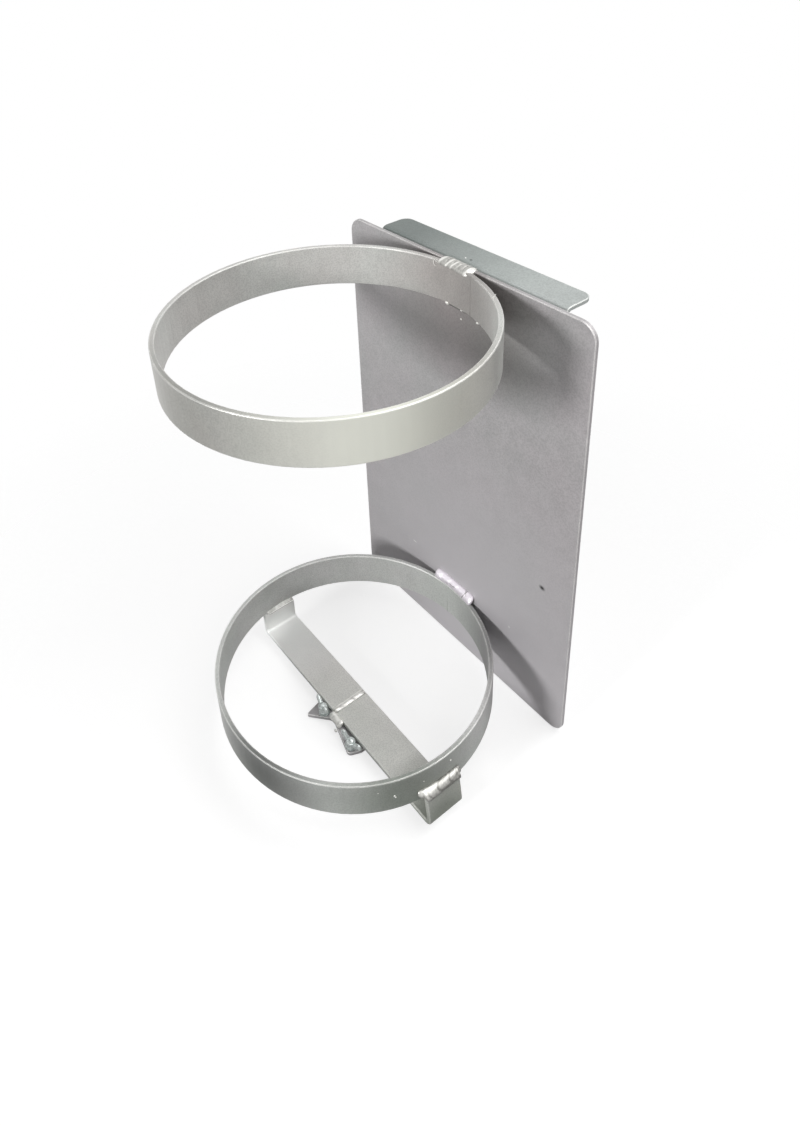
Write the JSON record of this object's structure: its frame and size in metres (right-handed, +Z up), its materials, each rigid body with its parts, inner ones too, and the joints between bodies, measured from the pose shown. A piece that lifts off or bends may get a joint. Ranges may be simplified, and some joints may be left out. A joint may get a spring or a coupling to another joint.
{
  "type": "gas cylinder bracket",
  "caption": "Steel bracket that holds a small gas cylinder upright: back plate with hook, two hoops, base strap with folded foot and wing nuts",
  "frame": {"origin": "on the floor that the bracket stands on, below the middle of its overall box", "axes": "+Z up, along the back plate; -Y towards the hoops, the side a cylinder is put in from; +Y behind the plate, where the hook reaches; +X to the right for someone facing the hoops"},
  "size_m": [0.195, 0.2022, 0.3024],
  "materials": {
    "coated_sheet": "satin zinc coat on sheet, warm grey",
    "coated_bar": "satin zinc coat on flat bar, grey with a faint green cast",
    "weld_metal": "bright rippled weld metal",
    "zinc_plate": "blue bright zinc plate on fasteners"
  },
  "bodies": {
    "root": {"back_plate": "coated_sheet", "top_hook": "coated_sheet", "foot_plate": "coated_sheet", "upper_hoop": "coated_bar", "lower_hoop": "coated_bar", "strap_left": "coated_bar", "strap_right": "coated_bar", "left_stud": "zinc_plate", "left_washer": "zinc_plate", "left_wing_nut": "zinc_plate", "right_stud": "zinc_plate", "right_washer": "zinc_plate", "right_wing_nut": "zinc_plate", "upper_hoop_weld_top": "weld_metal", "upper_hoop_weld_under": "weld_metal", "lower_hoop_weld_top": "weld_metal", "strap_ridge_weld": "weld_metal", "strap_left_weld": "weld_metal", "strap_right_weld": "weld_metal", "foot_waist_weld": "weld_metal", "hook_stitch_left": "weld_metal", "hook_stitch_right": "weld_metal"}
  },
  "joints": []
}
